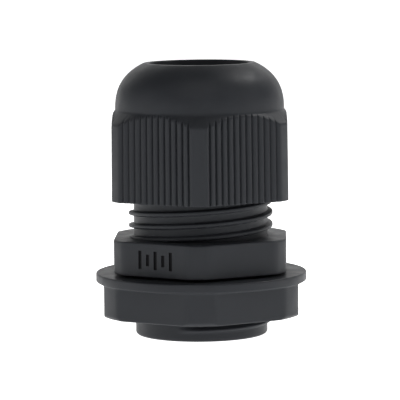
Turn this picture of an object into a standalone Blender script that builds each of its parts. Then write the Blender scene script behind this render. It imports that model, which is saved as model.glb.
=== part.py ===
"""Plastic cable gland for an M25 x 1.5 entry, standing on the end of its entry thread.

Metres, +Z up. The origin is the centre of the gland's lower end, and every piece turns about the Z axis
except the claws, which each bend about a short tangential hinge. The dome nut stands part way up its
thread, and the locknut is run up against the entry gasket.
"""
import math

import bmesh
import bpy
from mathutils import Vector

# Entry thread, M25 x 1.5
ENTRY_PITCH = 0.0015
ENTRY_CREST_R = 0.01235
ENTRY_ROOT_R = 0.01152
ENTRY_CREST_SHARE = 0.20       # of the pitch
ENTRY_ROOT_SHARE = 0.24
ENTRY_PHASE = 0.00149          # height of a root's lower edge over +X
ENTRY_LENGTH = 0.01142         # from the lower end to the underside of the hexagon
LEAD_IN_R = 0.01158            # plain ring below the thread
LEAD_IN_LENGTH = 0.00150
LEAD_IN_CHAMFER = 0.00030

# Hexagon of the gland body
BODY_HEX_APOTHEM = 0.01500
BODY_HEX_CORNER_R = 0.01640
BODY_HEX_TURN = math.radians(-1.2)  # the body stands a little turned against the two nuts
BODY_HEX_TOP = 0.01730
BODY_CHAMFER_DROP = 0.00020    # the top edge's chamfer at a corner, down its side
BODY_CHAMFER_IN = 0.00030      # and in along its top
GASKET_GROOVE_R = 0.01460
GASKET_GROOVE_DEPTH = 0.00090
GROOVE_CLEAR_OF_THREAD = 0.00005

# Two-start thread for the dome nut
CAP_PITCH = 0.00216
CAP_STARTS = 2
CAP_CREST_R = 0.01263
CAP_ROOT_R = 0.01174
CAP_CREST_SHARE = 0.26         # of the pitch
CAP_ROOT_SHARE = 0.54
CAP_PHASE = 0.00023            # height of a root's lower edge over +X
STUB_TOP = 0.02900
BORE_R = 0.00900               # way through the body for the cable
BORE_CHAMFER = 0.00040
SEAL_SEAT_R = 0.01020          # wider bore at the top, where the sealing insert stands
SEAL_SEAT_Z = 0.02650

# Dome nut
CAP_BOTTOM = 0.02399
CAP_APOTHEM_LOW = 0.01530      # the flats draw in a little towards the top
CAP_APOTHEM_HIGH = 0.01519
CAP_CORNER_R = 0.01697
RIB_GROOVES = 12               # on each of the six flats
RIB_PITCH = 0.00122
GROOVE_HALF_WIDTH = 0.00028
GROOVE_DEPTH = 0.00040
DOME_BASE_Z = 0.03940
DOME_BASE_R = 0.01479
DOME_HEIGHT = 0.00975          # of the full superellipse, which the flat top cuts short
DOME_POWER = 2.5
CAP_TOP = 0.04760
CABLE_HOLE_R = 0.00880
HOLE_CHAMFER = 0.00040
CAP_THREAD_LENGTH = 0.00660
CAP_RELIEF_R = 0.01290         # plain bore above the nut's thread
CAP_CONE_BASE_Z = 0.03800
CAP_CONE_TOP_Z = 0.04540
CAP_CONE_HEIGHT = 0.00926

# Locknut
LOCKNUT_BOTTOM = 0.00368
LOCKNUT_APOTHEM = 0.01690
LOCKNUT_CORNER_R = 0.01829
LOCKNUT_CHAMFER_RISE = 0.00050 # the lower edge's chamfer at a corner, up its side
LOCKNUT_CHAMFER_IN = 0.00045   # and in along its face
FLANGE_BOTTOM = 0.00935
FLANGE_TOP = 0.01095
FLANGE_R = 0.01850

# Entry gasket
GASKET_INNER_R = 0.01275
GASKET_OUTER_R = 0.01430
GASKET_BOTTOM = 0.01100
GASKET_TOP = 0.01217

# Sealing insert
SEAL_WALL = 0.00140
SEAL_BOTTOM = 0.02680
SEAL_SHOULDER_Z = 0.03040
SEAL_TOP = 0.03690
SEAL_BASE_R = 0.00980
SEAL_NOSE_R = 0.00800
SEAL_LIP_DROP = 0.00020        # chamfer round the nose
SEAL_LIP_IN = 0.00030

# Clamping cage and its claws
CAGE_BOTTOM = 0.02930
CAGE_TOP = 0.03010
CAGE_INNER_R = 0.01020
CAGE_OUTER_R = 0.01150
CLAW_COUNT = 14
CLAW_WIDTH = 0.00270
CLAW_HINGE_R = 0.01080
CLAW_HINGE_Z = 0.03025
CLAW_LEAN = math.radians(7.0)  # how far the half-tightened nut has bent the claws inwards
CLAW_FOOT_Z = 0.00015          # heights above the hinge
CLAW_KNEE_Z = 0.00080
CLAW_TOOTH_Z = 0.00750
CLAW_TOOTH_EDGE_Z = 0.00790
CLAW_TOOTH_TOP_Z = 0.00830
CLAW_TIP_Z = 0.00860
CLAW_BACK_X = 0.00060          # outwards from the hinge
CLAW_FOOT_BACK_X = 0.00045
CLAW_TIP_BACK_X = 0.00050
CLAW_FOOT_FRONT_X = -0.00030
CLAW_FRONT_X = -0.00060
CLAW_NECK_X = -0.00050
CLAW_TIP_FRONT_X = -0.00100
CLAW_TOOTH_X = -0.00130

# Thrust ring inside the dome nut
THRUST_BOTTOM = 0.03840
THRUST_TOP = 0.04460
THRUST_GAP = 0.00030           # to the dome nut's inner wall
THRUST_INNER_LOW_R = 0.01200
THRUST_INNER_HIGH_R = 0.00930

THREAD_CLEARANCE = 0.00015     # between each nut's thread and the thread it runs on
FLANK_WIDENING = 0.8           # of that clearance, taken along the axis at each flank
THREAD_STEPS = 32              # facets in a turn of thread
RING_STEPS = 48                # facets round a turned piece
SMALL_RING_STEPS = 36
DOME_STEPS = 64
FLANGE_STEPS = 72
CROWN_STEPS = 96
ENVELOPE_STEPS = 47            # odd counts keep these corners off the threads' own
LEAD_IN_STEPS = 43
WELD = 0.000001
NUDGE = 0.00050                # how far a cutter runs past what it cuts

BLACK_NYLON = (0.030, 0.032, 0.036)
BLACK_RUBBER = (0.010, 0.010, 0.011)
GREY_ACETAL = (0.075, 0.078, 0.085)


def clear_scene():
    for old in list(bpy.data.objects):
        bpy.data.objects.remove(old, do_unlink=True)


def new_collection(name):
    collection = bpy.data.collections.new(name)
    bpy.context.scene.collection.children.link(collection)
    return collection


def new_material(name, colour, roughness):
    material = bpy.data.materials.new(name)
    material.use_nodes = True
    shader = material.node_tree.nodes["Principled BSDF"]
    shader.inputs["Base Color"].default_value = (*colour, 1.0)
    shader.inputs["Roughness"].default_value = roughness
    shader.inputs["Metallic"].default_value = 0.0
    return material


def new_object(name, mesh, collection):
    piece = bpy.data.objects.new(name, mesh)
    collection.objects.link(piece)
    return piece


def hide_as_cutter(piece):
    piece.hide_render = True
    piece.display_type = "WIRE"
    return piece


def bake(piece):
    """Replace an object's mesh by what its modifiers make of it."""
    bpy.context.view_layer.update()
    graph = bpy.context.evaluated_depsgraph_get()
    piece.data = bpy.data.meshes.new_from_object(piece.evaluated_get(graph))
    piece.modifiers.clear()
    return piece


def cut(piece, tool, operation="DIFFERENCE"):
    """Combine an object with a hidden tool by an exact Boolean."""
    boolean = piece.modifiers.new(f"{operation.lower()} {tool.name}", "BOOLEAN")
    boolean.operation = operation
    boolean.solver = "EXACT"
    boolean.object = tool
    hide_as_cutter(tool)


def signed_area(points):
    """Positive for an outline that runs anticlockwise."""
    pairs = zip(points, points[1:] + points[:1])
    return sum(a[0] * b[1] - b[0] * a[1] for a, b in pairs) / 2


def screwed(piece, steps, rise=0.0, turns=1):
    """Sweep an outline in the XZ plane about Z, rising by the given height each turn."""
    screw = piece.modifiers.new("screw", "SCREW")
    screw.axis = "Z"
    screw.angle = math.tau
    screw.steps = screw.render_steps = steps
    screw.screw_offset = rise
    screw.iterations = turns
    screw.use_merge_vertices = rise == 0.0
    screw.merge_threshold = 0.00001


def turned(name, outline, collection, steps=RING_STEPS):
    """A ring or plug turned about Z from a closed outline of (radius, height) points.

    Two points on the axis may follow each other: the outline then closes along the axis.
    """
    points = list(outline)
    if signed_area(points) > 0:
        points.reverse()
    on_axis = [i for i, (radius, _) in enumerate(points) if radius == 0.0]
    edges = [(i, (i + 1) % len(points)) for i in range(len(points))]
    if on_axis:
        edges = [edge for edge in edges if not set(edge) <= set(on_axis)]
    mesh = bpy.data.meshes.new(name)
    mesh.from_pydata([(radius, 0.0, z) for radius, z in points], edges, [])
    piece = new_object(name, mesh, collection)
    screwed(piece, steps)
    return bake(piece)


def prism(name, outline, z_low, z_high, collection, top_scale=1.0):
    """An outline of (x, y) points raised between two heights, drawn in towards its top."""
    bm = bmesh.new()
    corners = [bm.verts.new((x, y, z_low)) for x, y in outline]
    base = bm.faces.new(corners)
    grown = bmesh.ops.extrude_face_region(bm, geom=[base])
    for item in grown["geom"]:
        if isinstance(item, bmesh.types.BMVert):
            item.co = Vector((item.co.x * top_scale, item.co.y * top_scale, z_high))
    bmesh.ops.recalc_face_normals(bm, faces=bm.faces)
    mesh = bpy.data.meshes.new(name)
    bm.to_mesh(mesh)
    bm.free()
    return new_object(name, mesh, collection)


def thread_profile(root_r, crest_r, pitch, starts, crest_share, root_share, grow):
    """One lead of a thread's side, from the bottom up, as (radius, height) points.

    A grown profile stands off the plain one all round: it makes the cutter for the mating thread.
    """
    flank = pitch * (1.0 - crest_share - root_share) / 2
    widen = grow * FLANK_WIDENING
    points = []
    for start in range(starts):
        z = start * pitch
        root_end = z + pitch * root_share
        points += [(root_r + grow, z + widen), (root_r + grow, root_end - widen),
                   (crest_r + grow, root_end + flank - widen),
                   (crest_r + grow, z + pitch - flank + widen)]
    return points + [(root_r + grow, starts * pitch + widen)]


def threaded_rod(name, profile, lead, phase, envelope, collection):
    """A solid rod with a right-hand thread on its side, cut to a turned envelope.

    The rod starts and ends more than a turn beyond the envelope, so its closed ends are cut away.
    The phase is the height at which a root begins over +X.
    """
    low = min(z for _, z in envelope)
    high = max(z for _, z in envelope)
    first = math.floor(low / lead) - 2
    turns = math.ceil(high / lead) + 1 - first
    mesh = bpy.data.meshes.new(name)
    points = [(radius, 0.0, z + first * lead + phase) for radius, z in reversed(profile)]
    mesh.from_pydata(points, [(i, i + 1) for i in range(len(points) - 1)], [])
    rod = new_object(name, mesh, collection)
    screwed(rod, THREAD_STEPS, lead, turns)
    bake(rod)
    close_ends(rod.data)
    cut(rod, turned(f"{name}_envelope", envelope, collection, ENVELOPE_STEPS), "INTERSECT")
    return bake(rod)


def close_ends(mesh):
    """Weld a helical band and close each of its two open ends on a point of the axis."""
    bm = bmesh.new()
    bm.from_mesh(mesh)
    bmesh.ops.remove_doubles(bm, verts=bm.verts, dist=WELD)
    open_edges = {edge for edge in bm.edges if edge.is_boundary}
    while open_edges:
        loop = [open_edges.pop()]
        reached = set(loop[0].verts)
        growing = True
        while growing:
            linked = [edge for edge in open_edges if reached & set(edge.verts)]
            growing = bool(linked)
            for edge in linked:
                open_edges.discard(edge)
                reached |= set(edge.verts)
                loop.append(edge)
        middle = sum(vert.co.z for vert in reached) / len(reached)
        centre = bm.verts.new((0.0, 0.0, middle))
        for edge in loop:
            bm.faces.new((*edge.verts, centre))
    bmesh.ops.recalc_face_normals(bm, faces=bm.faces)
    bm.to_mesh(mesh)
    bm.free()


def hexagon(apothem, corner_r, turn=0.0, steps=4):
    """A hexagon with one corner towards -Y, or turned from there, its corners rounded off by a circle."""
    reach = math.acos(apothem / corner_r)
    outline = []
    for corner in range(6):
        middle = turn - math.pi / 2 + corner * math.pi / 3
        half = math.pi / 6 - reach
        for step in range(steps + 1):
            angle = middle - half + 2 * half * step / steps
            outline.append((corner_r * math.cos(angle), corner_r * math.sin(angle)))
    return outline


def ribbed_hexagon(apothem, corner_r):
    """The dome nut's outline: rounded corners, and a row of V grooves along each flat."""
    outline = []
    half = math.pi / 6 - math.acos(apothem / corner_r)
    for corner in range(6):
        middle = -math.pi / 2 + corner * math.pi / 3
        for side in (-1, 0, 1):
            angle = middle + side * half
            outline.append((corner_r * math.cos(angle), corner_r * math.sin(angle)))
        facing = middle + math.pi / 6
        out = Vector((math.cos(facing), math.sin(facing)))
        along = Vector((-out.y, out.x))
        for groove in range(RIB_GROOVES):
            centre = (groove - (RIB_GROOVES - 1) / 2) * RIB_PITCH
            outline.append(out * apothem + along * (centre - GROOVE_HALF_WIDTH))
            outline.append(out * (apothem - GROOVE_DEPTH) + along * centre)
            outline.append(out * apothem + along * (centre + GROOVE_HALF_WIDTH))
    return [tuple(point) for point in outline]


def superellipse(width, height, base_z, low_z, high_z, steps, shrink=0.0):
    """Points of a dome's side between two heights, from the bottom up."""
    points = []
    for step in range(steps + 1):
        z = low_z + (high_z - low_z) * math.sin(math.pi / 2 * step / steps)
        share = ((z - base_z) / (height - shrink)) ** DOME_POWER
        points.append(((width - shrink) * (1.0 - share) ** (1.0 / DOME_POWER), z))
    return points


def entry_thread(grow=0.0):
    return thread_profile(ENTRY_ROOT_R, ENTRY_CREST_R, ENTRY_PITCH, 1,
                          ENTRY_CREST_SHARE, ENTRY_ROOT_SHARE, grow)


def cap_thread(grow=0.0):
    return thread_profile(CAP_ROOT_R, CAP_CREST_R, CAP_PITCH, CAP_STARTS,
                          CAP_CREST_SHARE, CAP_ROOT_SHARE, grow)


def corner_chamfer(corner_r, inward, along, face_z, up):
    """Both ends of the line that chamfers a prism's corners at a face, run a little past them."""
    past_side = (corner_r + NUDGE, face_z - up * along * (1.0 + NUDGE / inward))
    past_face = (corner_r - inward * (1.0 + NUDGE / along), face_z + up * NUDGE)
    return past_side, past_face


def make_body(parts, tools):
    body = prism("gland_body", hexagon(BODY_HEX_APOTHEM, BODY_HEX_CORNER_R, BODY_HEX_TURN),
                 ENTRY_LENGTH, BODY_HEX_TOP, parts)
    edge, above = corner_chamfer(BODY_HEX_CORNER_R, BODY_CHAMFER_IN, BODY_CHAMFER_DROP,
                                 BODY_HEX_TOP, 1)
    crown = [(0.0, 0.0), (edge[0], 0.0), edge, above, (0.0, above[1])]
    cut(body, turned("body_crown", crown, tools, CROWN_STEPS), "INTERSECT")

    thread_depth = ENTRY_CREST_R - ENTRY_ROOT_R
    rod_r = ENTRY_CREST_R + NUDGE
    entry = [(0.0, LEAD_IN_LENGTH), (ENTRY_ROOT_R, LEAD_IN_LENGTH),
             (rod_r, LEAD_IN_LENGTH + thread_depth), (rod_r, ENTRY_LENGTH + NUDGE),
             (0.0, ENTRY_LENGTH + NUDGE)]
    rod = threaded_rod("entry_thread", entry_thread(), ENTRY_PITCH, ENTRY_PHASE, entry, tools)
    lead_in = [(0.0, 0.0), (LEAD_IN_R - LEAD_IN_CHAMFER, 0.0), (LEAD_IN_R, LEAD_IN_CHAMFER),
               (LEAD_IN_R, LEAD_IN_LENGTH + NUDGE), (0.0, LEAD_IN_LENGTH + NUDGE)]
    cut(rod, turned("lead_in_ring", lead_in, tools, LEAD_IN_STEPS), "UNION")
    cut(body, bake(rod), "UNION")

    rod_r = CAP_CREST_R + NUDGE
    depth = CAP_CREST_R - CAP_ROOT_R
    stub = [(0.0, BODY_HEX_TOP - NUDGE), (rod_r, BODY_HEX_TOP - NUDGE),
            (rod_r, STUB_TOP - depth), (CAP_ROOT_R, STUB_TOP), (0.0, STUB_TOP)]
    lead = CAP_PITCH * CAP_STARTS
    cut(body, threaded_rod("stub_thread", cap_thread(), lead, CAP_PHASE, stub, tools), "UNION")

    bore = [(0.0, -NUDGE), (BORE_R + BORE_CHAMFER + NUDGE, -NUDGE), (BORE_R, BORE_CHAMFER),
            (BORE_R, SEAL_SEAT_Z), (SEAL_SEAT_R, SEAL_SEAT_Z), (SEAL_SEAT_R, STUB_TOP + NUDGE),
            (0.0, STUB_TOP + NUDGE)]
    cut(body, turned("body_bore", bore, tools))
    inner_r = ENTRY_CREST_R + GROOVE_CLEAR_OF_THREAD
    ceiling = ENTRY_LENGTH + GASKET_GROOVE_DEPTH
    groove = [(inner_r, ENTRY_LENGTH - NUDGE), (GASKET_GROOVE_R, ENTRY_LENGTH - NUDGE),
              (GASKET_GROOVE_R, ceiling), (inner_r, ceiling)]
    cut(body, turned("gasket_groove", groove, tools))
    return body


def make_dome_nut(parts, tools):
    height = DOME_BASE_Z - CAP_BOTTOM
    above = CAP_TOP + NUDGE - CAP_BOTTOM
    draw_in = 1.0 - (1.0 - CAP_APOTHEM_HIGH / CAP_APOTHEM_LOW) * above / height
    nut = prism("dome_nut", ribbed_hexagon(CAP_APOTHEM_LOW, CAP_CORNER_R),
                CAP_BOTTOM, CAP_TOP + NUDGE, parts, draw_in)

    outside_r = CAP_CORNER_R + NUDGE
    dome = superellipse(DOME_BASE_R, DOME_HEIGHT, DOME_BASE_Z, DOME_BASE_Z, CAP_TOP, 8)
    outside = [(0.0, CAP_BOTTOM - NUDGE), (outside_r, CAP_BOTTOM - NUDGE),
               (outside_r, DOME_BASE_Z - (outside_r - DOME_BASE_R)), *dome, (0.0, CAP_TOP)]
    cut(nut, turned("dome_outside", outside, tools, DOME_STEPS), "INTERSECT")

    thread_top = CAP_BOTTOM + CAP_THREAD_LENGTH
    cone = superellipse(CAP_RELIEF_R, CAP_CONE_HEIGHT, CAP_CONE_BASE_Z, CAP_CONE_BASE_Z,
                        CAP_CONE_TOP_Z, 6)
    inside = [(0.0, thread_top), (CAP_RELIEF_R, thread_top), *cone,
              (CABLE_HOLE_R, CAP_CONE_TOP_Z), (CABLE_HOLE_R, CAP_TOP - HOLE_CHAMFER),
              (CABLE_HOLE_R + HOLE_CHAMFER + NUDGE, CAP_TOP + NUDGE), (0.0, CAP_TOP + NUDGE)]
    cut(nut, turned("dome_inside", inside, tools))

    cutter_r = CAP_CREST_R + THREAD_CLEARANCE + NUDGE
    tap = [(0.0, CAP_BOTTOM - NUDGE), (cutter_r, CAP_BOTTOM - NUDGE),
           (cutter_r, thread_top + NUDGE), (0.0, thread_top + NUDGE)]
    lead = CAP_PITCH * CAP_STARTS
    cut(nut, threaded_rod("dome_nut_tap", cap_thread(THREAD_CLEARANCE), lead, CAP_PHASE, tap, tools))
    mouth_top = CAP_BOTTOM + CAP_RELIEF_R - CAP_ROOT_R
    mouth = [(0.0, CAP_BOTTOM - NUDGE), (CAP_RELIEF_R + NUDGE, CAP_BOTTOM - NUDGE),
             (CAP_ROOT_R, mouth_top), (0.0, mouth_top)]
    cut(nut, turned("dome_nut_mouth", mouth, tools))
    return nut


def make_locknut(parts, tools):
    nut = prism("locknut", hexagon(LOCKNUT_APOTHEM, LOCKNUT_CORNER_R),
                LOCKNUT_BOTTOM, FLANGE_BOTTOM + NUDGE, parts)
    edge, below = corner_chamfer(LOCKNUT_CORNER_R, LOCKNUT_CHAMFER_IN, LOCKNUT_CHAMFER_RISE,
                                 LOCKNUT_BOTTOM, -1)
    base = [(0.0, below[1]), below, edge, (edge[0], FLANGE_TOP), (0.0, FLANGE_TOP)]
    cut(nut, turned("locknut_base", base, tools, CROWN_STEPS), "INTERSECT")
    flange = [(0.0, FLANGE_BOTTOM), (FLANGE_R, FLANGE_BOTTOM), (FLANGE_R, FLANGE_TOP),
              (0.0, FLANGE_TOP)]
    cut(nut, turned("locknut_flange", flange, tools, FLANGE_STEPS), "UNION")
    cutter_r = ENTRY_CREST_R + THREAD_CLEARANCE + NUDGE
    tap = [(0.0, LOCKNUT_BOTTOM - NUDGE), (cutter_r, LOCKNUT_BOTTOM - NUDGE),
           (cutter_r, FLANGE_TOP + NUDGE), (0.0, FLANGE_TOP + NUDGE)]
    cut(nut, threaded_rod("locknut_tap", entry_thread(THREAD_CLEARANCE), ENTRY_PITCH, ENTRY_PHASE,
                          tap, tools))
    depth = ENTRY_CREST_R + THREAD_CLEARANCE - ENTRY_ROOT_R
    for name, face, inward in (("lower", LOCKNUT_BOTTOM, 1), ("upper", FLANGE_TOP, -1)):
        mouth = [(0.0, face - inward * NUDGE), (ENTRY_ROOT_R + depth + NUDGE, face - inward * NUDGE),
                 (ENTRY_ROOT_R, face + inward * depth), (0.0, face + inward * depth)]
        cut(nut, turned(f"locknut_{name}_mouth", mouth, tools))
    return nut


def make_rings(parts):
    gasket = [(GASKET_INNER_R, GASKET_BOTTOM), (GASKET_OUTER_R, GASKET_BOTTOM),
              (GASKET_OUTER_R, GASKET_TOP), (GASKET_INNER_R, GASKET_TOP)]
    cage = [(CAGE_INNER_R, CAGE_BOTTOM), (CAGE_OUTER_R, CAGE_BOTTOM),
            (CAGE_OUTER_R, CAGE_TOP), (CAGE_INNER_R, CAGE_TOP)]
    seal = [(SEAL_BASE_R - SEAL_WALL, SEAL_BOTTOM), (SEAL_BASE_R, SEAL_BOTTOM),
            (SEAL_BASE_R, SEAL_SHOULDER_Z), (SEAL_NOSE_R, SEAL_TOP - SEAL_LIP_DROP),
            (SEAL_NOSE_R - SEAL_LIP_IN, SEAL_TOP), (SEAL_NOSE_R - SEAL_WALL, SEAL_TOP),
            (SEAL_BASE_R - SEAL_WALL, SEAL_SHOULDER_Z)]
    back = superellipse(CAP_RELIEF_R, CAP_CONE_HEIGHT, CAP_CONE_BASE_Z, THRUST_BOTTOM,
                        THRUST_TOP, 5, THRUST_GAP)
    thrust = [(THRUST_INNER_LOW_R, THRUST_BOTTOM), *back, (THRUST_INNER_HIGH_R, THRUST_TOP)]
    return {
        "entry_gasket": turned("entry_gasket", gasket, parts, SMALL_RING_STEPS),
        "clamping_cage": turned("clamping_cage", cage, parts, SMALL_RING_STEPS),
        "sealing_insert": turned("sealing_insert", seal, parts, SMALL_RING_STEPS),
        "thrust_ring": turned("thrust_ring", thrust, parts, SMALL_RING_STEPS),
    }


def make_claw_mesh():
    """One claw's mesh about its hinge: X outwards, Z up the claw, with a tooth at its tip."""
    side = [(CLAW_FOOT_FRONT_X, CLAW_FOOT_Z), (CLAW_FOOT_BACK_X, CLAW_FOOT_Z),
            (CLAW_BACK_X, CLAW_KNEE_Z), (CLAW_TIP_BACK_X, CLAW_TIP_Z),
            (CLAW_TIP_FRONT_X, CLAW_TIP_Z), (CLAW_TOOTH_X, CLAW_TOOTH_TOP_Z),
            (CLAW_TOOTH_X, CLAW_TOOTH_EDGE_Z), (CLAW_NECK_X, CLAW_TOOTH_Z),
            (CLAW_FRONT_X, CLAW_KNEE_Z)]
    curve = bpy.data.curves.new("claw_side", "CURVE")
    curve.dimensions = "2D"
    curve.fill_mode = "BOTH"
    curve.extrude = CLAW_WIDTH / 2
    spline = curve.splines.new("POLY")
    spline.points.add(len(side) - 1)
    for point, (x, z) in zip(spline.points, side):
        point.co = (x, z, 0.0, 1.0)
    spline.use_cyclic_u = True
    holder = bpy.data.objects.new("claw_side", curve)
    bpy.context.scene.collection.objects.link(holder)
    bpy.context.view_layer.update()
    graph = bpy.context.evaluated_depsgraph_get()
    mesh = bpy.data.meshes.new_from_object(holder.evaluated_get(graph))
    bpy.data.objects.remove(holder, do_unlink=True)
    bm = bmesh.new()
    bm.from_mesh(mesh)
    bmesh.ops.remove_doubles(bm, verts=bm.verts, dist=WELD)
    for vert in bm.verts:
        vert.co = Vector((vert.co.x, -vert.co.z, vert.co.y))
    bmesh.ops.recalc_face_normals(bm, faces=bm.faces)
    bm.to_mesh(mesh)
    bm.free()
    mesh.name = "claw"
    return mesh


def make_claws(parts):
    mesh = make_claw_mesh()
    claws = []
    for number in range(CLAW_COUNT):
        angle = math.tau * number / CLAW_COUNT
        claw = new_object(f"claw_{number + 1:02d}", mesh, parts)
        claw.location = (CLAW_HINGE_R * math.cos(angle), CLAW_HINGE_R * math.sin(angle), CLAW_HINGE_Z)
        claw.rotation_euler = (0.0, -CLAW_LEAN, angle)
        claws.append(claw)
    return claws


def finish_piece(piece, material, frame):
    piece.data.materials.clear()
    piece.data.materials.append(material)
    piece.parent = frame
    piece.data.shade_smooth()
    piece.data.set_sharp_from_angle(angle=math.radians(30))


def main():
    clear_scene()
    parts = new_collection("cable_gland")
    tools = new_collection("cable_gland_cutters")
    frame = bpy.data.objects.new("cable_gland_frame", None)
    parts.objects.link(frame)

    pieces = {"gland_body": make_body(parts, tools), "dome_nut": make_dome_nut(parts, tools),
              "locknut": make_locknut(parts, tools), **make_rings(parts)}
    finishes = {"gland_body": (BLACK_NYLON, 0.45), "dome_nut": (BLACK_NYLON, 0.42),
                "locknut": (BLACK_NYLON, 0.45), "entry_gasket": (BLACK_RUBBER, 0.70),
                "clamping_cage": (GREY_ACETAL, 0.40), "sealing_insert": (BLACK_RUBBER, 0.60),
                "thrust_ring": (GREY_ACETAL, 0.35)}
    for name, piece in pieces.items():
        finish_piece(piece, new_material(f"{name}_finish", *finishes[name]), frame)
    claw_finish = new_material("claw_finish", GREY_ACETAL, 0.40)
    for claw in make_claws(parts):
        finish_piece(claw, claw_finish, frame)


main()
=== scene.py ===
"""The finished look of a cable gland: softened mouldings, plastics and rubber, floor, lights and camera.

Every ring-shaped piece is one closed outline of (radius, height) points, worked out afresh at each angle
round the Z axis, so that flats, ribs and threads keep their own crisp rows of faces. Lengths are in
metres, with MM for a millimetre, and angles are in radians.
"""
import math

import bmesh
import bpy
from mathutils import Matrix, Vector


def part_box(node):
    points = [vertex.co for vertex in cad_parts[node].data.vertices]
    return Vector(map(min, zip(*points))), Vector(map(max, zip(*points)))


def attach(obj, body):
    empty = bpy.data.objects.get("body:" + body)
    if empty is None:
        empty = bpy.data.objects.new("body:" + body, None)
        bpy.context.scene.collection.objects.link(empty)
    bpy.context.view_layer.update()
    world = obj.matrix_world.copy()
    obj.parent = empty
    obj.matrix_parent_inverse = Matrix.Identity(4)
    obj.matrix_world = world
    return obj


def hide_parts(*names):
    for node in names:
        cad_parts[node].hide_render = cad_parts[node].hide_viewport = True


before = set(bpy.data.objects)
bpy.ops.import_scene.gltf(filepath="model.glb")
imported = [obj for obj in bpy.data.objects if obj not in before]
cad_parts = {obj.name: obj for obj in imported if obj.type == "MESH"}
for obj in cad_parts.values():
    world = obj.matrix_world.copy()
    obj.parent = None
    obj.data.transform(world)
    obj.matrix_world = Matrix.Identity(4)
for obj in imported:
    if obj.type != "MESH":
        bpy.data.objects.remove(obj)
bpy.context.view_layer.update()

MM = 0.001
SIXTH = math.pi / 3
WELD = 0.0001 * MM
CURVE_STEPS = 3                    # faces round a softened corner
RING_CURVE_STEPS = 4               # and round one of a plain ring
CRISP_EDGE = math.radians(42.0)    # faces that meet more steeply than this keep a crisp edge
HEXAGON_COLUMNS = 44               # outlines to each sixth of a hexagonal piece
CORNER_CROWDING = 1.4              # above 1, those outlines draw together at the corner
RING_COLUMNS = 160                 # outlines round a plain ring
CORNER_BAND_COLUMNS = 10           # outlines across each plain corner of the dome nut

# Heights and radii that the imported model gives
body_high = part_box("gland_body")[1]
cap_low, cap_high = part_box("dome_nut")
nut_low, nut_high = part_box("locknut")
gasket_low, gasket_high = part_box("entry_gasket")
seal_low, seal_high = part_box("sealing_insert")
cage_low, cage_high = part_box("clamping_cage")
thrust_low, thrust_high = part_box("thrust_ring")

# Both threads
PROFILE_DEPTH = 0.90 * MM          # depth for which the corners' softness is given
ROOT_SOFTNESS = 0.10 * MM
CREST_SOFTNESS = 0.16 * MM
THREAD_CLEARANCE = 0.15 * MM
CLEARANCE_SIDEWAYS = THREAD_CLEARANCE * 0.8

# Entry thread
ENTRY_PITCH = 1.5 * MM
ENTRY_CREST_R = 12.35 * MM
ENTRY_ROOT_R = 11.52 * MM
ENTRY_CREST_SHARE = 0.20
ENTRY_ROOT_SHARE = 0.24
ENTRY_PHASE = 1.49 * MM
ENTRY_TOP = 11.42 * MM
ENTRY_RIDGE_BEGINS = 1.95 * MM     # height of the crest where the ridge starts to stand out
ENTRY_RIDGE_FULL = 2.05 * MM
LEAD_IN_R = 11.58 * MM
LEAD_IN_TOP = 1.15 * MM
LEAD_IN_CHAMFER_IN = 0.25 * MM
LEAD_IN_CHAMFER_RISE = 0.35 * MM

# Two-start thread for the dome nut
CAP_PITCH = 2.16 * MM
CAP_STARTS = 2
CAP_CREST_R = 12.63 * MM
CAP_ROOT_R = 11.74 * MM
CAP_CREST_SHARE = 0.26
CAP_ROOT_SHARE = 0.54
CAP_PHASE = 0.23 * MM
STUB_RIM = 0.30 * MM               # how far inside the thread's root the flat end begins
STUB_RUN_OUT = 0.05 * MM           # how far below the end the thread stops
STUB_TAPER = 0.9                   # how fast the ridges shrink towards the end

# Hexagon of the gland body
HEX_APOTHEM = 15.0 * MM
HEX_CORNER_R = 16.4 * MM
HEX_TURN = math.radians(-1.2)
HEX_TOP = 17.3 * MM
HEX_CHAMFER_IN = 0.30 * MM
HEX_CHAMFER_DROP = 0.20 * MM
HEX_CORNER_BLEND = 0.35 * MM       # how softly the flats turn into the rounded corners
HEX_BROW_IN = 0.16 * MM            # least size of the top edge's chamfer, in and down
HEX_BROW_DROP = 0.14 * MM
GASKET_GROOVE_INNER_R = 12.40 * MM
GASKET_GROOVE_R = 14.60 * MM
GASKET_GROOVE_DEPTH = 0.90 * MM
BORE_R = 9.0 * MM
BORE_CHAMFER = 0.4 * MM
SEAL_SEAT_R = 10.2 * MM
SEAL_SEAT_Z = 26.5 * MM

# Plain upright strokes sunk in one face of that hexagon, their insides coloured darker as painted shade
MARK_FACE = -math.pi / 2 - SIXTH / 2 + HEX_TURN
MARK_COUNT = 5
MARK_PITCH = 1.55 * MM
MARK_HALF_WIDTH = 0.26 * MM
MARK_WALL = 0.05 * MM
MARK_DEPTH = 0.22 * MM
MARK_MIDDLE_Z = 14.35 * MM
MARK_HALF_HEIGHTS = (1.55 * MM, 0.95 * MM)  # long and short strokes in turn

# Dome nut
CAP_APOTHEM = 15.30 * MM
CAP_CORNER_R = 16.97 * MM
CAP_TAPER = 0.000467 / MM          # share that its sides draw in for each metre of height
CAP_CORNER_BLEND = 0.12 * MM
RIB_GROOVES = 12
RIB_PITCH = 1.22 * MM
RIB_CROWN = 0.30 * MM              # how far a rib's face falls away from its middle to its sides
GROOVE_HALF_WIDTH = 0.22 * MM
GROOVE_DEPTH = 0.22 * MM
GROOVE_FOOT = 0.18                 # roundness of a groove's foot and rims, as shares of its half width
GROOVE_RIM = 0.22
GROOVE_ROWS = (0.0, 0.06 * MM, 0.13 * MM, 0.21 * MM, 0.30 * MM, 0.44 * MM)
DOME_BASE_Z = 39.4 * MM
DOME_BASE_R = 14.79 * MM
DOME_HEIGHT = 9.75 * MM
DOME_POWER = 2.5
DOME_ROWS = 20
CABLE_HOLE_R = 8.8 * MM
CAP_THREAD_LENGTH = 6.6 * MM
CAP_RELIEF_R = 12.9 * MM
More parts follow.
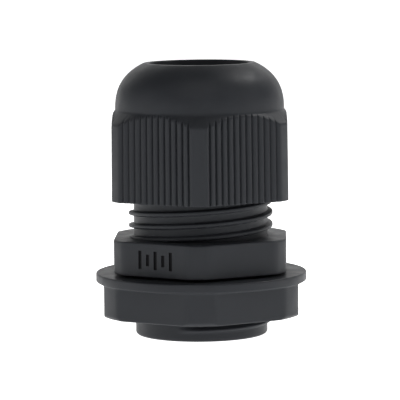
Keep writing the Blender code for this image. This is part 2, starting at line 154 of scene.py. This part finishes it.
CAP_CONE_BASE_Z = 38.0 * MM
CAP_CONE_TOP_Z = 45.4 * MM
CAP_CONE_HEIGHT = 9.26 * MM
CONE_ROWS = 8

# Locknut
NUT_APOTHEM = 16.90 * MM
NUT_CORNER_R = 18.29 * MM
NUT_CHAMFER_IN = 0.45 * MM
NUT_CHAMFER_RISE = 0.50 * MM
NUT_CORNER_BLEND = 0.18 * MM
FLANGE_BOTTOM = 9.35 * MM
FLANGE_FILLET = 0.35 * MM
NUT_MOUTH = 0.98 * MM
NUT_EDGE = 0.14 * MM               # least size of the lower edge's chamfer

# Rings and claws inside
SEAL_WALL = 1.4 * MM
SEAL_SHOULDER_Z = 30.4 * MM
SEAL_NOSE_R = 8.0 * MM
CAGE_INNER_R = 10.2 * MM
GASKET_INNER_R = 12.75 * MM
THRUST_INNER_LOW_R = 12.0 * MM
THRUST_INNER_HIGH_R = 9.3 * MM
THRUST_GAP = 0.3 * MM
CLAW_COUNT = 14
CLAW_WIDTH = 2.7 * MM
CLAW_HINGE_R = 10.8 * MM
CLAW_HINGE_Z = 30.25 * MM
CLAW_LEAN = math.radians(7.0)
CLAW_COLUMNS = 8                   # steps across a claw's width
CLAW_EDGE = 0.08 * MM

# Plastics and rubber
FLOW_SCALE = 0.35                  # flow marks and spark grain, in waves to a millimetre
GRIT_SCALE = 9.0
GRIT_DEPTH = 0.04 * MM
GRIT_STRENGTH = 0.35
MOTTLE = 0.08                      # share by which flow marks lighten and darken a colour

# Camera and stage
CAMERA_AZIMUTH = math.radians(0.5)
CAMERA_ELEVATION = math.radians(6.0)
CAMERA_ROLL = math.radians(-0.574)
CAMERA_DISTANCE = 492.6 * MM
CAMERA_LENS = 252.7                # in the camera's own millimetres, as is the sensor's width
CAMERA_SENSOR = 36.0
CAMERA_AIM = Vector((-0.09 * MM, 0.0, 23.43 * MM))
FLOOR_REACH = 3.0
WALL_HEIGHT = 3.0
FLOOR_BEND_R = 1.0
FLOOR_BEND_ROWS = 16
GLOW_NEAR = 1.28                   # the floor's own light round the gland
GLOW_FAR = 0.80
GLOW_REACH = 400.0 * MM
SKY_LOW = 0.88                     # brightness of the surroundings at the horizon
SKY_HIGH = 0.04                    # and overhead
SKY_FADE = (0.04, 0.24)            # sines of the elevations between which they dim
SKY_FRONT = 0.50                   # share of their brightness on the camera's side
SKY_SIDES = (-0.8, 0.2)            # Y of the directions between which that share grows to the whole

# Lamps: name, place, what they face, width and height, and power in watts
LAMPS = (
    ("front_softbox", (0.0, -0.78, 0.95), (0.0, 0.0, 0.03), 0.90, 0.90, 3.7),
    ("left_strip", (-0.97, -0.20, 0.30), (0.0, 0.0, 0.03), 0.35, 0.70, 0.9),
    ("right_strip", (0.97, -0.20, 0.30), (0.0, 0.0, 0.03), 0.35, 0.70, 0.9),
    ("high_softbox", (0.45, 0.26, 0.66), (0.0, 0.0, 0.04), 0.18, 0.18, 2.3),
)


# ---------------------------------------------------------------- outlines

def softened(corners, steps=CURVE_STEPS):
    """A closed outline through (radius, height, setback) corners, each drawn as a small curve.

    A corner without a setback stays one point.
    """
    points = []
    for i, (radius, z, setback) in enumerate(corners):
        here = Vector((radius, z))
        if setback == 0.0:
            points.append(here)
            continue
        before = Vector(corners[i - 1][:2]) - here
        after = Vector(corners[(i + 1) % len(corners)][:2]) - here
        start = here + before * min(setback / max(before.length, WELD), 0.49)
        end = here + after * min(setback / max(after.length, WELD), 0.49)
        for step in range(steps + 1):
            t = step / steps
            points.append(start.lerp(here, t).lerp(here.lerp(end, t), t))
    return points


def sharp(points):
    """Outline points as corners that stay as they are."""
    return [(point[0], point[1], 0.0) for point in points]


def soft_min(a, b, blend):
    """The smaller of two lengths, with the change from one to the other rounded off."""
    share = max(0.0, min(1.0, 0.5 + 0.5 * (b - a) / blend))
    return b + (a - b) * share - blend * share * (1.0 - share)


def soft_ramp(value, soft):
    """Zero below zero and the value above it, with the bend rounded off."""
    if value <= -soft:
        return 0.0
    return value if value >= soft else (value + soft) ** 2 / (4.0 * soft)


def eased(value):
    """From 0 to 1 with no jump in slope."""
    t = max(0.0, min(1.0, value))
    return t * t * (3.0 - 2.0 * t)


def off_flat(angle, turn):
    """How far an angle lies from the middle of its flat, on a hexagon with a corner towards -Y."""
    sector = (angle + math.pi / 2 - turn) % SIXTH
    return sector - SIXTH / 2


def hexagon_r(angle, apothem, corner_r, turn, blend):
    """A rounded hexagon's radius at an angle."""
    return soft_min(apothem / math.cos(off_flat(angle, turn)), corner_r, blend)


def superellipse(width, height, base_z, low_z, high_z, rows, shrink=0.0):
    """A dome's side from the bottom up, in rows that close up where it curves most."""
    points = []
    for row in range(rows + 1):
        z = low_z + (high_z - low_z) * math.sin(math.pi / 2 * row / rows)
        share = ((z - base_z) / (height - shrink)) ** DOME_POWER
        points.append(Vector(((width - shrink) * (1.0 - share) ** (1.0 / DOME_POWER), z)))
    return points


# ---------------------------------------------------------------- threads

def ridge_rows(pitch, crest_share, root_share, steps):
    """One pitch of thread as (share of the depth, height) rows with softened corners."""
    flank = pitch * (1.0 - crest_share - root_share) / 2
    foot = pitch * root_share
    corners = [(0.0, 0.0, 0.0), (0.0, foot, ROOT_SOFTNESS),
               (PROFILE_DEPTH, foot + flank, CREST_SOFTNESS),
               (PROFILE_DEPTH, pitch - flank, CREST_SOFTNESS),
               (0.0, pitch, ROOT_SOFTNESS), (0.0, pitch + foot, 0.0)]
    return [(point.x / PROFILE_DEPTH, point.y) for point in softened(corners, steps)[1:-1]]


ENTRY_ROWS = ridge_rows(ENTRY_PITCH, ENTRY_CREST_SHARE, ENTRY_ROOT_SHARE, 2)
ENTRY_NUT_ROWS = ridge_rows(ENTRY_PITCH, ENTRY_CREST_SHARE, ENTRY_ROOT_SHARE, 1)
CAP_ROWS = ridge_rows(CAP_PITCH, CAP_CREST_SHARE, CAP_ROOT_SHARE, CURVE_STEPS)
CAP_NUT_ROWS = ridge_rows(CAP_PITCH, CAP_CREST_SHARE, CAP_ROOT_SHARE, 1)


def clipped(points, low, high):
    """A rising run of (radius, height) points cut at two heights, with its number of points kept."""
    def radius_at(z):
        for first, second in zip(points, points[1:]):
            if first[1] <= z <= second[1]:
                share = (z - first[1]) / max(second[1] - first[1], WELD)
                return first[0] + (second[0] - first[0]) * share
        return points[0][0]

    ends = {low: radius_at(low), high: radius_at(high)}
    kept = []
    for radius, z in points:
        held = min(max(z, low), high)
        kept.append((ends.get(held, radius) if held != z else radius, held))
    return kept


def thread_run(angle, rows, pitch, starts, phase, root_r, crest_r, low, high, strength, widen=0.0):
    """A thread's side between two heights, as its outline at one angle.

    The run holds whole pitches from below the low end to above the high end, so the last column of a turn
    falls on the first one a lead further up. The strength of a ridge follows from its crest's height.
    """
    climb = pitch * starts * angle / math.tau
    first = math.floor((low - phase) / pitch) - starts - 1
    last = math.ceil((high - phase) / pitch) + starts + 1
    crest_height = sum(z for share, z in rows if share > 0.99) / sum(share > 0.99 for share, _ in rows)
    points = []
    for turn in range(first, last):
        base = phase + turn * pitch + climb
        grown = strength(base + crest_height)
        for share, z in rows:
            side = 1.0 if z > crest_height else -1.0
            points.append((root_r + (crest_r - root_r) * share * grown, base + z + side * widen))
    return clipped(points, low, high)


def entry_ridge(crest_z):
    return eased((crest_z - ENTRY_RIDGE_BEGINS) / (ENTRY_RIDGE_FULL - ENTRY_RIDGE_BEGINS))


def full_ridge(_crest_z):
    return 1.0


# ---------------------------------------------------------------- meshes

def lofted(name, angles, outline_at, closed=True):
    """A mesh through one closed outline per angle. A whole ring's last angle falls on its first."""
    bm = bmesh.new()
    columns = []
    for angle in angles:
        cos, sin = math.cos(angle), math.sin(angle)
        columns.append([bm.verts.new((point[0] * cos, point[0] * sin, point[1]))
                        for point in outline_at(angle)])
    for left, right in zip(columns, columns[1:]):
        for i in range(len(left)):
            bm.faces.new((left[i - 1], right[i - 1], right[i], left[i]))
    if not closed:
        bm.faces.new(columns[0])
        bm.faces.new(columns[-1])
    bmesh.ops.remove_doubles(bm, verts=bm.verts, dist=WELD)
    bmesh.ops.recalc_face_normals(bm, faces=bm.faces)
    mesh = bpy.data.meshes.new(name)
    bm.to_mesh(mesh)
    bm.free()
    mesh.shade_smooth()
    mesh.set_sharp_from_angle(angle=CRISP_EDGE)
    piece = bpy.data.objects.new(name, mesh)
    bpy.context.scene.collection.objects.link(piece)
    return piece


def even_angles(count):
    return [math.tau * step / count for step in range(count + 1)]


def hexagon_angles(turn, extra=()):
    """Angles once round, closer together at a hexagon's corners."""
    start = turn - math.pi / 2 - SIXTH / 2
    angles = set()
    for sector in range(6):
        for step in range(HEXAGON_COLUMNS):
            t = 2.0 * step / HEXAGON_COLUMNS - 1.0
            ease = math.copysign(abs(t) ** CORNER_CROWDING, t)
            angles.add(start + SIXTH * (sector + 0.5 + ease / 2))
    for angle in extra:
        angles.add(start + (angle - start) % math.tau)
    ordered = sorted(angles)
    return [*ordered, ordered[0] + math.tau]


def weighted(piece):
    """Flat faces keep their flat shading beside softened edges."""
    normals = piece.modifiers.new("weighted normals", "WEIGHTED_NORMAL")
    normals.keep_sharp = True
    return piece


# ---------------------------------------------------------------- gland body

def mark_offset(number):
    return (number - (MARK_COUNT - 1) / 2) * MARK_PITCH


def mark_depth(angle, z):
    """How deep a stroke is sunk at a place on the body's hexagon."""
    off = (angle - MARK_FACE + math.pi) % math.tau - math.pi
    if abs(off) > SIXTH / 2:
        return 0.0
    along = HEX_APOTHEM * math.tan(off)
    for number in range(MARK_COUNT):
        aside = abs(along - mark_offset(number)) - MARK_HALF_WIDTH
        above = abs(z - MARK_MIDDLE_Z) - MARK_HALF_HEIGHTS[number % 2]
        out = max(aside, above)
        if out < MARK_WALL:
            return MARK_DEPTH * min(1.0, 1.0 - out / MARK_WALL) / math.cos(off)
    return 0.0


def mark_angles():
    """Angles of the strokes' edges."""
    edges = []
    for number in range(MARK_COUNT):
        for reach in (MARK_HALF_WIDTH, MARK_HALF_WIDTH + MARK_WALL):
            for side in (-1, 1):
                edges.append(MARK_FACE + math.atan((mark_offset(number) + side * reach) / HEX_APOTHEM))
    return edges


MARK_ROWS = sorted(MARK_MIDDLE_Z + side * (half + wall)
                   for side in (-1, 1) for half in MARK_HALF_HEIGHTS for wall in (0.0, MARK_WALL))


def body_outline(angle):
    side_r = hexagon_r(angle, HEX_APOTHEM, HEX_CORNER_R, HEX_TURN, HEX_CORNER_BLEND)
    chamfer_r = HEX_CORNER_R - HEX_CHAMFER_IN
    brow_r = min(side_r - HEX_BROW_IN, chamfer_r)
    brow_z = HEX_TOP - max(HEX_BROW_DROP, (side_r - chamfer_r) * HEX_CHAMFER_DROP / HEX_CHAMFER_IN)
    stub_top = body_high.z
    groove_z = ENTRY_TOP + GASKET_GROOVE_DEPTH
    entry = thread_run(angle, ENTRY_ROWS, ENTRY_PITCH, 1, ENTRY_PHASE, LEAD_IN_R, ENTRY_CREST_R,
                       LEAD_IN_TOP, ENTRY_TOP, entry_ridge)
    stub = thread_run(angle, CAP_ROWS, CAP_PITCH, CAP_STARTS, CAP_PHASE, CAP_ROOT_R, CAP_CREST_R,
                      HEX_TOP, stub_top - STUB_RUN_OUT, full_ridge)
    stub = [(min(radius, CAP_ROOT_R + max(stub_top - z, 0.0) * STUB_TAPER), z) for radius, z in stub]
    corners = [
        (BORE_R + BORE_CHAMFER, 0.0, 0.10 * MM), (LEAD_IN_R - LEAD_IN_CHAMFER_IN, 0.0, 0.18 * MM),
        (LEAD_IN_R, LEAD_IN_CHAMFER_RISE, 0.15 * MM), *sharp(entry),
        (GASKET_GROOVE_INNER_R, ENTRY_TOP, 0.0), (GASKET_GROOVE_INNER_R, groove_z, 0.0),
        (GASKET_GROOVE_R, groove_z, 0.0), (GASKET_GROOVE_R, ENTRY_TOP, 0.10 * MM),
        (side_r - 0.02 * MM, ENTRY_TOP, 0.16 * MM),
        *((side_r - mark_depth(angle, z), z, 0.0) for z in MARK_ROWS),
        (side_r, brow_z, 0.16 * MM), (brow_r, HEX_TOP, 0.16 * MM), *sharp(stub),
        (CAP_ROOT_R - STUB_RIM, stub_top, 0.15 * MM), (SEAL_SEAT_R, stub_top, 0.20 * MM),
        (SEAL_SEAT_R, SEAL_SEAT_Z, 0.12 * MM), (BORE_R, SEAL_SEAT_Z, 0.15 * MM),
        (BORE_R, BORE_CHAMFER, 0.15 * MM)]
    return softened(corners)


def make_body(plastic, painted_shade):
    body = lofted("gland_body_moulding", hexagon_angles(HEX_TURN, extra=mark_angles()), body_outline)
    body.data.materials.append(plastic)
    body.data.materials.append(painted_shade)
    # Faces inside the strokes take the second material, a darker copy of the nylon: painted shade standing in
    # for the shadow in the recesses
    for face in body.data.polygons:
        middle = face.center
        angle = math.atan2(middle.y, middle.x)
        sunk = mark_depth(angle, middle.z)
        if sunk > MARK_DEPTH / 4:
            side_r = hexagon_r(angle, HEX_APOTHEM, HEX_CORNER_R, HEX_TURN, HEX_CORNER_BLEND)
            face.material_index = int(math.hypot(middle.x, middle.y) < side_r - MARK_DEPTH / 4)
    return weighted(body)


# ---------------------------------------------------------------- dome nut

def groove_depth(aside):
    """How far a flat lies below its rib tops at a distance from a groove's middle."""
    crown = RIB_CROWN * (1.0 - abs(aside) / (RIB_PITCH / 2)) ** 2
    spread = math.hypot(aside / GROOVE_HALF_WIDTH, GROOVE_FOOT)
    return crown + GROOVE_DEPTH * soft_ramp(1.0 - spread, GROOVE_RIM)


def cap_side_r(angle):
    """The dome nut's radius at its lower end, grooves taken off."""
    off = off_flat(angle, 0.0)
    along = CAP_APOTHEM * math.tan(off)
    number = round(along / RIB_PITCH - 0.5) + 0.5
    sunk = groove_depth(along - number * RIB_PITCH) if abs(number) < RIB_GROOVES / 2 else 0.0
    flat = (CAP_APOTHEM - sunk) / math.cos(off)
    return soft_min(flat, CAP_CORNER_R, CAP_CORNER_BLEND)


def cap_angles():
    """Angles once round the nut: rows for each groove's sides and rims, and an even run round the corners."""
    angles = set()
    for flat in range(6):
        facing = flat * SIXTH - math.pi / 2 + SIXTH / 2
        for groove in range(RIB_GROOVES):
            centre = (groove - (RIB_GROOVES - 1) / 2) * RIB_PITCH
            for reach in GROOVE_ROWS:
                for side in (-1, 1):
                    angles.add(round(facing + math.atan((centre + side * reach) / CAP_APOTHEM), 9))
            angles.add(round(facing + math.atan((centre + RIB_PITCH / 2) / CAP_APOTHEM), 9))
        corner_run = SIXTH - 2 * math.atan((RIB_GROOVES * RIB_PITCH / 2) / CAP_APOTHEM)
        for step in range(CORNER_BAND_COLUMNS + 1):
            angles.add(round(facing + SIXTH / 2 + corner_run * (step / CORNER_BAND_COLUMNS - 0.5), 9))
    start = min(angles)
    ordered = sorted(angle for angle in angles if angle < start + math.tau - 1e-7)
    return [*ordered, start + math.tau]


def cap_outline(angle):
    base = cap_low.z
    side_r = cap_side_r(angle)
    shoulder_z = (DOME_BASE_R + DOME_BASE_Z - side_r * (1.0 + CAP_TAPER * base)) / (1.0 - side_r * CAP_TAPER)
    shoulder_r = DOME_BASE_R + DOME_BASE_Z - shoulder_z
    dome = superellipse(DOME_BASE_R, DOME_HEIGHT, DOME_BASE_Z, DOME_BASE_Z, cap_high.z, DOME_ROWS)
    cone = superellipse(CAP_RELIEF_R, CAP_CONE_HEIGHT, CAP_CONE_BASE_Z, CAP_CONE_BASE_Z,
                        CAP_CONE_TOP_Z, CONE_ROWS)
    thread_top = base + CAP_THREAD_LENGTH
    inside = thread_run(angle, CAP_NUT_ROWS, CAP_PITCH, CAP_STARTS, CAP_PHASE,
                        CAP_ROOT_R + THREAD_CLEARANCE, CAP_CREST_R + THREAD_CLEARANCE,
                        base, thread_top, full_ridge, CLEARANCE_SIDEWAYS)
    inside = [(max(radius, CAP_RELIEF_R - (z - base)), z) for radius, z in inside]
    corners = [
        (CAP_RELIEF_R + 0.1 * MM, base, 0.12 * MM), (side_r, base, 0.16 * MM),
        (shoulder_r, shoulder_z, 0.30 * MM), (dome[0].x, DOME_BASE_Z, 0.25 * MM), *sharp(dome[1:-1]),
        (dome[-1].x - 0.10 * MM, cap_high.z, 0.45 * MM), (CABLE_HOLE_R, cap_high.z, 0.25 * MM),
        (CABLE_HOLE_R, CAP_CONE_TOP_Z, 0.15 * MM), *sharp(reversed(cone)),
        (CAP_RELIEF_R, thread_top, 0.0), *sharp(reversed(inside))]
    return softened(corners)


# ---------------------------------------------------------------- locknut and rings

def locknut_outline(angle):
    base, top = nut_low.z, nut_high.z
    side_r = hexagon_r(angle, NUT_APOTHEM, NUT_CORNER_R, 0.0, NUT_CORNER_BLEND)
    chamfer_r = NUT_CORNER_R - NUT_CHAMFER_IN
    foot_r = min(side_r - NUT_EDGE, chamfer_r)
    foot_z = base + max(NUT_EDGE, (side_r - chamfer_r) * NUT_CHAMFER_RISE / NUT_CHAMFER_IN)
    inside = thread_run(angle, ENTRY_NUT_ROWS, ENTRY_PITCH, 1, ENTRY_PHASE,
                        ENTRY_ROOT_R + THREAD_CLEARANCE, ENTRY_CREST_R + THREAD_CLEARANCE,
                        base, top, full_ridge, CLEARANCE_SIDEWAYS)
    mouth_r = ENTRY_ROOT_R + NUT_MOUTH
    inside = [(max(radius, mouth_r - min(z - base, top - z)), z) for radius, z in inside]
    corners = [
        (mouth_r + 0.1 * MM, base, 0.08 * MM), (foot_r, base, NUT_EDGE), (side_r, foot_z, 0.20 * MM),
        (side_r, FLANGE_BOTTOM, FLANGE_FILLET), (nut_high.x, FLANGE_BOTTOM, 0.30 * MM),
        (nut_high.x, top, 0.30 * MM), (mouth_r + 0.1 * MM, top, 0.08 * MM), *sharp(reversed(inside))]
    return softened(corners)


def plain_ring(name, corners):
    """A ring with the same softened outline all the way round."""
    outline = softened(corners, RING_CURVE_STEPS)
    return weighted(lofted(name, even_angles(RING_COLUMNS), lambda _angle: outline))


def make_rings():
    """The gasket, cage, sealing insert and thrust ring, by the names of their CAD nodes."""
    edge = 0.12 * MM
    gasket_r = gasket_high.x
    gasket = [(GASKET_INNER_R, gasket_low.z, edge), (gasket_r, gasket_low.z, 0.35 * MM),
              (gasket_r, gasket_high.z, 0.35 * MM), (GASKET_INNER_R, gasket_high.z, edge)]
    cage = [(CAGE_INNER_R, cage_low.z, edge), (cage_high.x, cage_low.z, edge),
            (cage_high.x, cage_high.z, edge), (CAGE_INNER_R, cage_high.z, edge)]
    base_r = seal_high.x
    seal = [(base_r - SEAL_WALL, seal_low.z, edge), (base_r, seal_low.z, edge),
            (base_r, SEAL_SHOULDER_Z, 0.5 * MM), (SEAL_NOSE_R, seal_high.z, 0.3 * MM),
            (SEAL_NOSE_R - SEAL_WALL, seal_high.z, 0.3 * MM),
            (base_r - SEAL_WALL, SEAL_SHOULDER_Z, 0.5 * MM)]
    back = superellipse(CAP_RELIEF_R, CAP_CONE_HEIGHT, CAP_CONE_BASE_Z, thrust_low.z, thrust_high.z,
                        CONE_ROWS, THRUST_GAP)
    thrust = [(THRUST_INNER_LOW_R, thrust_low.z, edge), *sharp(back),
              (THRUST_INNER_HIGH_R, thrust_high.z, edge)]
    return {name: plain_ring(f"{name}_moulding", corners)
            for name, corners in (("entry_gasket", gasket), ("clamping_cage", cage),
                                  ("sealing_insert", seal), ("thrust_ring", thrust))}


def claw_outline():
    """A claw's side outwards of its hinge and up, with a tooth at its tip."""
    side = [(-0.30, 0.15), (0.45, 0.15), (0.60, 0.80), (0.50, 8.60), (-1.00, 8.60),
            (-1.30, 8.30), (-1.30, 7.90), (-0.50, 7.50), (-0.60, 0.80)]
    return softened([(CLAW_HINGE_R + x * MM, z * MM, CLAW_EDGE) for x, z in side])


def make_claw(number, mesh):
    """One claw, leaning in by as much as the half-tightened nut presses it."""
    angle = math.tau * number / CLAW_COUNT
    claw = bpy.data.objects.new(f"claw_{number + 1:02d}_moulding", mesh)
    bpy.context.scene.collection.objects.link(claw)
    hinge = Matrix.Translation((CLAW_HINGE_R, 0.0, CLAW_HINGE_Z))
    back = Matrix.Translation((-CLAW_HINGE_R, 0.0, 0.0))
    claw.matrix_world = Matrix.Rotation(angle, 4, "Z") @ hinge @ Matrix.Rotation(-CLAW_LEAN, 4, "Y") @ back
    return claw


# ---------------------------------------------------------------- materials

def ramp(tree, source, span, result):
    """A value that goes smoothly from one result to the other over a span of the source."""
    node = tree.nodes.new("ShaderNodeMapRange")
    node.interpolation_type = "SMOOTHSTEP"
    for name, value in zip(("From Min", "From Max", "To Min", "To Max"), (*span, *result)):
        node.inputs[name].default_value = value
    tree.links.new(source, node.inputs["Value"])
    return node.outputs["Result"]


def moulded(name, colour, roughness, shine):
    """A moulded plastic or rubber: faint flow marks in its colour and gloss over a fine spark grain."""
    material = bpy.data.materials.new(name)
    material.use_nodes = True
    nodes, links = material.node_tree.nodes, material.node_tree.links
    shader = nodes["Principled BSDF"]
    shader.inputs["IOR"].default_value = 1.5
    shader.inputs["Specular IOR Level"].default_value = shine
    place = nodes.new("ShaderNodeTexCoord")

    def noise(scale, detail):
        texture = nodes.new("ShaderNodeTexNoise")
        texture.inputs["Scale"].default_value = scale / MM
        texture.inputs["Detail"].default_value = detail
        links.new(place.outputs["Object"], texture.inputs["Vector"])
        return texture

    flow = noise(FLOW_SCALE, 4.0)
    grit = noise(GRIT_SCALE, 2.0)
    tint = nodes.new("ShaderNodeMix")
    tint.data_type = "RGBA"
    tint.inputs["A"].default_value = (*(c * (1.0 - MOTTLE) for c in colour), 1.0)
    tint.inputs["B"].default_value = (*(c * (1.0 + MOTTLE) for c in colour), 1.0)
    links.new(flow.outputs["Fac"], tint.inputs["Factor"])
    links.new(tint.outputs["Result"], shader.inputs["Base Color"])
    gloss = ramp(material.node_tree, flow.outputs["Fac"], (0.3, 0.7), (roughness - 0.04, roughness + 0.05))
    links.new(gloss, shader.inputs["Roughness"])
    bump = nodes.new("ShaderNodeBump")
    bump.inputs["Strength"].default_value = GRIT_STRENGTH
    bump.inputs["Distance"].default_value = GRIT_DEPTH
    links.new(grit.outputs["Fac"], bump.inputs["Height"])
    links.new(bump.outputs["Normal"], shader.inputs["Normal"])
    return material


# ---------------------------------------------------------------- stage

def area_light(name, place, aim, width, height, watts):
    light = bpy.data.lights.new(name, "AREA")
    light.shape = "RECTANGLE"
    light.size = width
    light.size_y = height
    light.energy = watts
    lamp = bpy.data.objects.new(name, light)
    lamp.location = place
    lamp.rotation_euler = (Vector(aim) - Vector(place)).to_track_quat("-Z", "Y").to_euler()
    bpy.context.scene.collection.objects.link(lamp)


def make_floor():
    """A pale floor that sweeps up into a pale wall far behind."""
    profile = [(-FLOOR_REACH, 0.0)]
    for step in range(FLOOR_BEND_ROWS + 1):
        angle = math.pi / 2 * step / FLOOR_BEND_ROWS
        profile.append((FLOOR_REACH - FLOOR_BEND_R + FLOOR_BEND_R * math.sin(angle),
                        FLOOR_BEND_R - FLOOR_BEND_R * math.cos(angle)))
    profile.append((FLOOR_REACH, WALL_HEIGHT))
    bm = bmesh.new()
    rows = [[bm.verts.new((x, y, z)) for x in (-FLOOR_REACH, FLOOR_REACH)] for y, z in profile]
    for low, high in zip(rows, rows[1:]):
        bm.faces.new((low[0], low[1], high[1], high[0]))
    mesh = bpy.data.meshes.new("floor")
    bm.to_mesh(mesh)
    bm.free()
    mesh.shade_smooth()
    floor = bpy.data.objects.new("floor", mesh)
    bpy.context.scene.collection.objects.link(floor)
    paper = bpy.data.materials.new("pale_floor")
    paper.use_nodes = True
    surface = paper.node_tree.nodes["Principled BSDF"]
    surface.inputs["Base Color"].default_value = (0.90, 0.90, 0.90, 1.0)
    surface.inputs["Roughness"].default_value = 0.95
    surface.inputs["Emission Color"].default_value = (1.0, 1.0, 1.0, 1.0)
    nodes, links = paper.node_tree.nodes, paper.node_tree.links
    away = nodes.new("ShaderNodeVectorMath")
    away.operation = "LENGTH"
    links.new(nodes.new("ShaderNodeTexCoord").outputs["Object"], away.inputs["Vector"])
    glow = ramp(paper.node_tree, away.outputs["Value"], (0.0, GLOW_REACH), (GLOW_NEAR, GLOW_FAR))
    links.new(glow, surface.inputs["Emission Strength"])
    mesh.materials.append(paper)


def make_world():
    """Surroundings that are bright round the horizon, dim overhead and dimmer on the camera's side."""
    world = bpy.data.worlds.new("studio")
    world.use_nodes = True
    nodes, links = world.node_tree.nodes, world.node_tree.links
    split = nodes.new("ShaderNodeSeparateXYZ")
    links.new(nodes.new("ShaderNodeTexCoord").outputs["Generated"], split.inputs["Vector"])
    strength = nodes.new("ShaderNodeMath")
    strength.operation = "MULTIPLY"
    links.new(ramp(world.node_tree, split.outputs["Z"], SKY_FADE, (SKY_LOW, SKY_HIGH)),
              strength.inputs[0])
    links.new(ramp(world.node_tree, split.outputs["Y"], SKY_SIDES, (SKY_FRONT, 1.0)), strength.inputs[1])
    backdrop = nodes["Background"]
    backdrop.inputs["Color"].default_value = (1.0, 1.0, 1.0, 1.0)
    links.new(strength.outputs["Value"], backdrop.inputs["Strength"])
    bpy.context.scene.world = world
    bpy.context.scene.view_settings.view_transform = "Standard"


def make_camera():
    lens = bpy.data.cameras.new("camera")
    lens.lens = CAMERA_LENS
    lens.sensor_width = CAMERA_SENSOR
    lens.clip_start = 0.01
    camera = bpy.data.objects.new("camera", lens)
    away = Vector((math.sin(CAMERA_AZIMUTH) * math.cos(CAMERA_ELEVATION),
                   -math.cos(CAMERA_AZIMUTH) * math.cos(CAMERA_ELEVATION),
                   math.sin(CAMERA_ELEVATION)))
    turn = (-away).to_track_quat("-Z", "Y").to_matrix().to_4x4()
    camera.matrix_world = (Matrix.Translation(CAMERA_AIM + away * CAMERA_DISTANCE) @ turn
                           @ Matrix.Rotation(CAMERA_ROLL, 4, "Z"))
    bpy.context.scene.collection.objects.link(camera)
    bpy.context.scene.camera = camera


def settle(piece, node, body, material=None):
    """Let a piece stand for its CAD node and move with its body."""
    if material:
        piece.data.materials.append(material)
    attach(piece, body)
    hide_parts(node)


def main():
    nylon = moulded("black_nylon", (0.024, 0.026, 0.030), 0.46, 0.17)
    # painted shade: a near-black copy of the nylon for the insides of the sunk strokes, standing in for the
    # shadow there
    sunk = moulded("sunk_strokes_painted_shade", (0.006, 0.006, 0.007), 0.70, 0.10)
    rubber = moulded("black_rubber", (0.004, 0.004, 0.005), 0.75, 0.12)
    acetal = moulded("grey_acetal", (0.050, 0.053, 0.060), 0.45, 0.30)

    settle(make_body(nylon, sunk), "gland_body", "body")
    cap = weighted(lofted("dome_nut_moulding", cap_angles(), cap_outline))
    settle(cap, "dome_nut", "dome_nut_body", nylon)
    locknut = weighted(lofted("locknut_moulding", hexagon_angles(0.0), locknut_outline))
    settle(locknut, "locknut", "locknut_body", nylon)

    rings = make_rings()
    settle(rings["entry_gasket"], "entry_gasket", "gasket_body", rubber)
    settle(rings["clamping_cage"], "clamping_cage", "body", acetal)
    settle(rings["sealing_insert"], "sealing_insert", "body", rubber)
    settle(rings["thrust_ring"], "thrust_ring", "thrust_ring_body", acetal)

    side = claw_outline()
    half = CLAW_WIDTH / 2 / CLAW_HINGE_R
    across = [half * (2.0 * step / CLAW_COLUMNS - 1.0) for step in range(CLAW_COLUMNS + 1)]
    pattern = lofted("claw_pattern", across, lambda _angle: side, closed=False)
    mesh = pattern.data
    mesh.materials.append(acetal)
    bpy.data.objects.remove(pattern)
    for number in range(CLAW_COUNT):
        claw = make_claw(number, mesh)
        bevel = claw.modifiers.new("side edges", "BEVEL")
        bevel.width = CLAW_EDGE
        bevel.segments = 2
        bevel.angle_limit = math.radians(50)
        settle(weighted(claw), f"claw_{number + 1:02d}", f"claw_{number + 1:02d}_body")

    make_floor()
    make_world()
    for lamp in LAMPS:
        area_light(*lamp)
    make_camera()


main()
